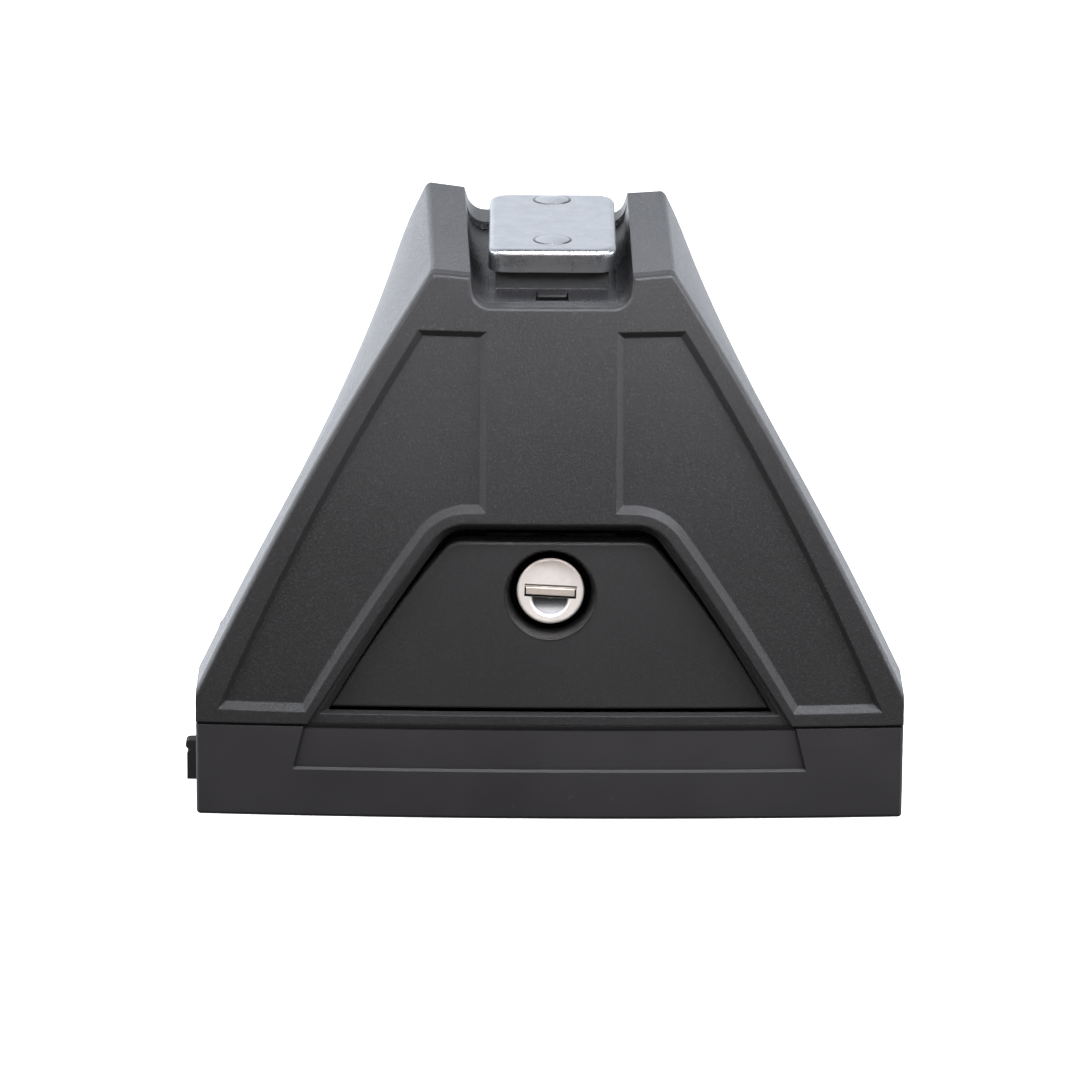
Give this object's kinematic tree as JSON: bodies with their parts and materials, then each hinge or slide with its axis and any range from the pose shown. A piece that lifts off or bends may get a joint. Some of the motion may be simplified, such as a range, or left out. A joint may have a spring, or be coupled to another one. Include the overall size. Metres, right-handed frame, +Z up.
{
  "type": "roof bar foot",
  "caption": "Moulded roof bar foot on a rubber base, with a lockable access door, a screw-driven clamp and a steel T-plate that grips the channel of a crossbar.",
  "frame": {"origin": "on the underside of the rubber base, midway between the two roof bolt holes", "axes": "+X to the right seen from the front cover, +Y to the rear along the crossbar, +Z up from the roof"},
  "size_m": [0.1221, 0.068, 0.0969],
  "materials": {
    "moulded_plastic": "fine moulded grain",
    "base_rubber": "matt",
    "seal_rubber": "matt",
    "zinc_steel": "bright zinc plated",
    "spring_steel": "oiled",
    "black_steel": "black oxide",
    "nickel": "satin nickel",
    "die_cast": "black passivated zinc die-casting"
  },
  "bodies": {
    "foot": {"tower_body": "moulded_plastic", "front_cover": "moulded_plastic", "cover_screws": "zinc_steel", "base_pad": "base_rubber", "base_gasket": "seal_rubber", "base_plate": "zinc_steel", "base_screws": "zinc_steel"},
    "clamp_screw": {"clamp_screw": "black_steel", "screw_washer": "zinc_steel", "screw_ring": "spring_steel"},
    "barrel_nut": {"barrel_nut": "zinc_steel"},
    "clamp": {"clamp_stirrup": "zinc_steel", "t_plate": "zinc_steel", "clamp_studs": "zinc_steel"},
    "door": {"access_door": "moulded_plastic", "lock_housing": "die_cast", "lock_clip": "spring_steel"},
    "lock_plug": {"lock_plug": "nickel", "lock_cam": "zinc_steel", "cam_screw": "zinc_steel", "shutter_pin": "nickel"},
    "shutter": {"key_shutter": "nickel"}
  },
  "joints": [
    {"name": "clamp_screw_turn", "type": "hinge", "parent": "foot", "child": "clamp_screw", "pos_m": [0, 0, 0.0436], "axis": [0, -1, 0], "range_deg": [0, 1440]},
    {"name": "nut_slide", "type": "slide", "parent": "foot", "child": "barrel_nut", "axis": [0, 1, 0], "range_m": [0, 0.005]},
    {"name": "clamp_lift", "type": "slide", "parent": "foot", "child": "clamp", "axis": [0, 0, 1], "range_m": [0, 0.00233]},
    {"name": "door_hinge", "type": "hinge", "parent": "foot", "child": "door", "pos_m": [0, -0.0236, 0.0226], "axis": [1, 0, 0], "range_deg": [0, 90]},
    {"name": "lock_turn", "type": "hinge", "parent": "door", "child": "lock_plug", "pos_m": [0, -0.02615, 0.0386], "axis": [0, 0.9976, -0.0698], "range_deg": [0, 90]},
    {"name": "shutter_flap", "type": "hinge", "parent": "lock_plug", "child": "shutter", "pos_m": [0.00003, -0.02287, 0.03894], "axis": [0.9988, -0.0034, -0.0487], "range_deg": [0, 70], "stiffness_Nm_per_rad": 0.0005, "springref_deg": -11.46}
  ],
  "couplings": [
    {"joint": "clamp_screw_turn", "follows": "nut_slide", "rad_per_m": 5026.5},
    {"joint": "clamp_lift", "follows": "nut_slide", "ratio": 0.46631}
  ]
}
